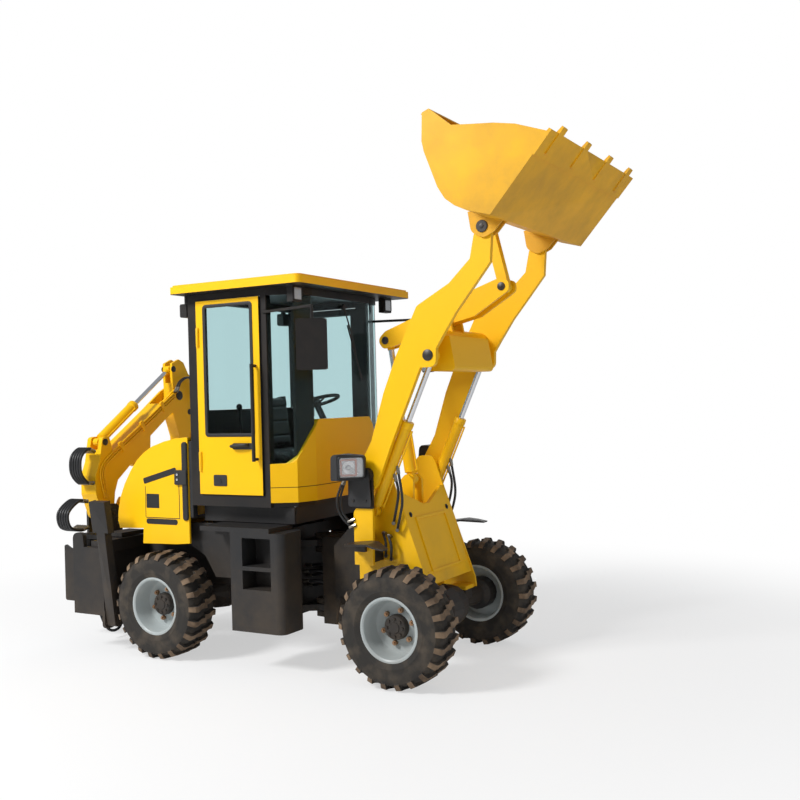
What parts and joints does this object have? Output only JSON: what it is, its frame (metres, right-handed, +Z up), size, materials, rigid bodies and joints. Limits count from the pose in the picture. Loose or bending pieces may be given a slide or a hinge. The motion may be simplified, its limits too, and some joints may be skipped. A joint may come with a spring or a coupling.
{
  "type": "articulated backhoe loader",
  "caption": "Compact centre-hinged backhoe loader with a raised front loader bucket, glazed cab, side-shifting backhoe folded across the rear and folded stabilizer legs.",
  "frame": {"origin": "on the ground, below the middle of the machine's box", "axes": "+X forward towards the loader bucket, +Y to the machine's left, +Z up"},
  "size_m": [4.748, 1.9, 3.908],
  "materials": {
    "yellow_paint": "gloss",
    "dark_paint": "satin",
    "cab_paint": "satin",
    "rubber": "matt",
    "rim_paint": "satin",
    "rod_chrome": "polished",
    "glazing": "clear",
    "engine_iron": "rough",
    "lamp_plastic": "matt",
    "seat_cover": "matt vinyl",
    "control_plastic": "matt"
  },
  "bodies": {
    "chassis": {"rear_frame": "dark_paint", "rear_axle": "dark_paint", "engine_block": "engine_iron", "step_tank_left": "dark_paint", "step_tank_right": "dark_paint", "cab_frame": "cab_paint", "cab_roof": "yellow_paint", "windshield": "glazing", "rear_window": "glazing", "front_cowl": "yellow_paint", "seat": "seat_cover", "steering_wheel": "control_plastic", "side_shift_frame": "dark_paint"},
    "hood": {"engine_hood": "yellow_paint"},
    "left_door": {"door_left": "yellow_paint", "door_glass_left": "glazing"},
    "right_door": {"door_right": "yellow_paint", "door_glass_right": "glazing"},
    "rear_left_wheel": {"tyre_rear_left": "rubber", "rim_rear_left": "rim_paint"},
    "rear_right_wheel": {"tyre_rear_right": "rubber", "rim_rear_right": "rim_paint"},
    "front_left_wheel": {"tyre_front_left": "rubber", "rim_front_left": "rim_paint"},
    "front_right_wheel": {"tyre_front_right": "rubber", "rim_front_right": "rim_paint"},
    "front_chassis": {"front_frame": "yellow_paint", "front_axle": "dark_paint", "headlight_left": "lamp_plastic", "headlight_right": "lamp_plastic"},
    "steer_barrel": {"steering_cylinder_barrel": "yellow_paint"},
    "steer_rod": {"steering_cylinder_rod": "rod_chrome"},
    "arms": {"loader_arms": "yellow_paint"},
    "rocker": {"tilt_rocker": "yellow_paint"},
    "link": {"tilt_link": "yellow_paint"},
    "bucket": {"loader_bucket": "yellow_paint"},
    "lift_barrel_l": {"lift_cylinder_left_barrel": "yellow_paint"},
    "lift_rod_l": {"lift_cylinder_left_rod": "rod_chrome"},
    "lift_barrel_r": {"lift_cylinder_right_barrel": "yellow_paint"},
    "lift_rod_r": {"lift_cylinder_right_rod": "rod_chrome"},
    "tilt_barrel": {"tilt_cylinder_barrel": "yellow_paint"},
    "tilt_rod": {"tilt_cylinder_rod": "rod_chrome"},
    "carriage": {"side_shift_carriage": "dark_paint"},
    "swing_post": {"swing_post": "dark_paint"},
    "boom": {"boom": "yellow_paint"},
    "dipper": {"dipper": "yellow_paint"},
    "guide_link": {"bucket_guide_link": "yellow_paint"},
    "push_link": {"bucket_push_link": "yellow_paint"},
    "dig_bucket": {"digging_bucket": "dark_paint"},
    "boom_barrel": {"boom_cylinder_barrel": "yellow_paint"},
    "boom_rod": {"boom_cylinder_rod": "rod_chrome"},
    "dipper_barrel": {"dipper_cylinder_barrel": "yellow_paint"},
    "dipper_rod": {"dipper_cylinder_rod": "rod_chrome"},
    "dig_barrel": {"bucket_cylinder_barrel": "yellow_paint"},
    "dig_rod": {"bucket_cylinder_rod": "rod_chrome"},
    "left_leg": {"stabilizer_left": "dark_paint"},
    "right_leg": {"stabilizer_right": "dark_paint"}
  },
  "joints": [
    {"name": "rear_left_wheel_spin", "type": "hinge", "parent": "chassis", "child": "rear_left_wheel", "pos_m": [-1.1, 0.71, 0.42], "axis": [0, 1, 0], "continuous": true},
    {"name": "rear_right_wheel_spin", "type": "hinge", "parent": "chassis", "child": "rear_right_wheel", "pos_m": [-1.1, -0.71, 0.42], "axis": [0, 1, 0], "continuous": true},
    {"name": "front_left_wheel_spin", "type": "hinge", "parent": "front_chassis", "child": "front_left_wheel", "pos_m": [1.033, 0.71, 0.42], "axis": [0, 1, 0], "continuous": true},
    {"name": "front_right_wheel_spin", "type": "hinge", "parent": "front_chassis", "child": "front_right_wheel", "pos_m": [1.033, -0.71, 0.42], "axis": [0, 1, 0], "continuous": true},
    {"name": "articulation", "type": "hinge", "parent": "chassis", "child": "front_chassis", "pos_m": [-0.034, 0, 0.58], "axis": [0, 0, 1], "range_deg": [-30, 30]},
    {"name": "hood_hinge", "type": "hinge", "parent": "chassis", "child": "hood", "pos_m": [-0.865, 0, 1.735], "axis": [0, 1, 0], "range_deg": [0, 50]},
    {"name": "right_door_hinge", "type": "hinge", "parent": "chassis", "child": "right_door", "pos_m": [-0.704, -0.725, 2.05], "axis": [0, 0, -1], "range_deg": [0, 95]},
    {"name": "left_door_hinge", "type": "hinge", "parent": "chassis", "child": "left_door", "pos_m": [-0.704, 0.725, 2.05], "axis": [0, 0, 1], "range_deg": [0, 95]},
    {"name": "arms_lift", "type": "hinge", "parent": "front_chassis", "child": "arms", "pos_m": [0.7, 0, 1.45], "axis": [0, 1, 0], "range_deg": [0, 101]},
    {"name": "bucket_tilt", "type": "hinge", "parent": "arms", "child": "bucket", "pos_m": [1.673, 0, 3.153], "axis": [0, -1, 0], "range_deg": [-68, 52]},
    {"name": "rocker_turn", "type": "hinge", "parent": "arms", "child": "rocker", "pos_m": [1.11, 0, 2.6], "axis": [0, -1, 0], "range_deg": [-30, 30]},
    {"name": "link_turn", "type": "hinge", "parent": "rocker", "child": "link", "pos_m": [1.6, 0, 2.79], "axis": [0, -1, 0], "range_deg": [-75, 60]},
    {"name": "lift_barrel_l_turn", "type": "hinge", "parent": "front_chassis", "child": "lift_barrel_l", "pos_m": [0.7, 0.428, 1.18], "axis": [0, 1, 0], "range_deg": [-2, 95]},
    {"name": "lift_rod_l_slide", "type": "slide", "parent": "lift_barrel_l", "child": "lift_rod_l", "axis": [0.4211, 0, 0.907], "range_m": [-0.42, 0.02]},
    {"name": "lift_barrel_r_turn", "type": "hinge", "parent": "front_chassis", "child": "lift_barrel_r", "pos_m": [0.7, -0.428, 1.18], "axis": [0, 1, 0], "range_deg": [-2, 95]},
    {"name": "lift_rod_r_slide", "type": "slide", "parent": "lift_barrel_r", "child": "lift_rod_r", "axis": [0.4211, 0, 0.907], "range_m": [-0.42, 0.02]},
    {"name": "tilt_barrel_turn", "type": "hinge", "parent": "front_chassis", "child": "tilt_barrel", "pos_m": [0.78, 0, 1.38], "axis": [0, 1, 0], "range_deg": [-2, 103]},
    {"name": "tilt_rod_slide", "type": "slide", "parent": "tilt_barrel", "child": "tilt_rod", "axis": [-0.1479, 0, 0.989], "range_m": [-0.2, 0.12]},
    {"name": "steer_barrel_turn", "type": "hinge", "parent": "chassis", "child": "steer_barrel", "pos_m": [-0.14, 0.17, 0.6], "axis": [0, 0, 1], "range_deg": [-30, 30]},
    {"name": "steer_rod_slide", "type": "slide", "parent": "steer_barrel", "child": "steer_rod", "axis": [1, 0, 0], "range_m": [-0.1, 0.1]},
    {"name": "side_shift", "type": "slide", "parent": "chassis", "child": "carriage", "axis": [0, 1, 0], "range_m": [0, 0.9]},
    {"name": "swing", "type": "hinge", "parent": "carriage", "child": "swing_post", "pos_m": [-2.2, -0.45, 0.6], "axis": [0, 0, 1], "range_deg": [0, 180]},
    {"name": "boom_lift", "type": "hinge", "parent": "swing_post", "child": "boom", "pos_m": [-2.2, -0.29, 1.055], "axis": [-1, 0, 0], "range_deg": [0, 60]},
    {"name": "dipper_turn", "type": "hinge", "parent": "boom", "child": "dipper", "pos_m": [-2.2, 0.64, 2.09], "axis": [1, 0, 0], "range_deg": [0, 80]},
    {"name": "dig_turn", "type": "hinge", "parent": "dipper", "child": "dig_bucket", "pos_m": [-2.2, 0.755, 1.17], "axis": [1, 0, 0], "range_deg": [0, 80]},
    {"name": "guide_link_turn", "type": "hinge", "parent": "dipper", "child": "guide_link", "pos_m": [-2.2, 0.738, 1.369], "axis": [1, 0, 0], "range_deg": [-2, 95]},
    {"name": "push_link_turn", "type": "hinge", "parent": "guide_link", "child": "push_link", "pos_m": [-2.2, 0.893, 1.268], "axis": [1, 0, 0], "range_deg": [-90, 2]},
    {"name": "boom_barrel_turn", "type": "hinge", "parent": "swing_post", "child": "boom_barrel", "pos_m": [-2.2, -0.31, 0.81], "axis": [-1, 0, 0], "range_deg": [-2, 86]},
    {"name": "boom_rod_slide", "type": "slide", "parent": "boom_barrel", "child": "boom_rod", "axis": [0, 0.6, 0.8], "range_m": [-0.36, 0.02]},
    {"name": "dipper_barrel_turn", "type": "hinge", "parent": "boom", "child": "dipper_barrel", "pos_m": [-2.2, -0.33, 1.69], "axis": [1, 0, 0], "range_deg": [-12, 2]},
    {"name": "dipper_rod_slide", "type": "slide", "parent": "dipper_barrel", "child": "dipper_rod", "axis": [0, 0.8176, 0.5758], "range_m": [-0.41, 0.02]},
    {"name": "dig_barrel_turn", "type": "hinge", "parent": "dipper", "child": "dig_barrel", "pos_m": [-2.2, 0.815, 1.93], "axis": [1, 0, 0], "range_deg": [-1, 3]},
    {"name": "dig_rod_slide", "type": "slide", "parent": "dig_barrel", "child": "dig_rod", "axis": [0, 0.117, -0.9931], "range_m": [-0.29, 0.02]},
    {"name": "left_leg_turn", "type": "hinge", "parent": "chassis", "child": "left_leg", "pos_m": [-1.59, 0.78, 0.25], "axis": [-1, 0, 0], "range_deg": [0, 88]},
    {"name": "right_leg_turn", "type": "hinge", "parent": "chassis", "child": "right_leg", "pos_m": [-1.59, -0.78, 0.25], "axis": [1, 0, 0], "range_deg": [0, 88]}
  ],
  "couplings": [
    {"joint": "lift_barrel_l_turn", "follows": "arms_lift", "ratio": 0.9002},
    {"joint": "lift_barrel_r_turn", "follows": "arms_lift", "ratio": 0.9002},
    {"joint": "lift_rod_l_slide", "follows": "arms_lift", "m_per_rad": -0.2105},
    {"joint": "lift_rod_r_slide", "follows": "arms_lift", "m_per_rad": -0.2105},
    {"joint": "rocker_turn", "follows": "bucket_tilt", "ratio": -0.195},
    {"joint": "link_turn", "follows": "bucket_tilt", "ratio": 0.575},
    {"joint": "tilt_barrel_turn", "follows": "arms_lift", "ratio": 1},
    {"joint": "tilt_rod_slide", "follows": "bucket_tilt", "m_per_rad": 0.11},
    {"joint": "steer_barrel_turn", "follows": "articulation", "ratio": 0.7402},
    {"joint": "steer_rod_slide", "follows": "articulation", "m_per_rad": -0.169},
    {"joint": "guide_link_turn", "follows": "dig_turn", "ratio": 0.7712},
    {"joint": "push_link_turn", "follows": "dig_turn", "ratio": -0.7006},
    {"joint": "boom_barrel_turn", "follows": "boom_lift", "ratio": 0.8253},
    {"joint": "boom_rod_slide", "follows": "boom_lift", "m_per_rad": -0.195},
    {"joint": "dipper_barrel_turn", "follows": "dipper_turn", "ratio": -0.0314},
    {"joint": "dipper_rod_slide", "follows": "dipper_turn", "m_per_rad": -0.2348},
    {"joint": "dig_barrel_turn", "follows": "dig_turn", "ratio": 0.0138},
    {"joint": "dig_rod_slide", "follows": "dig_turn", "m_per_rad": -0.1298}
  ]
}
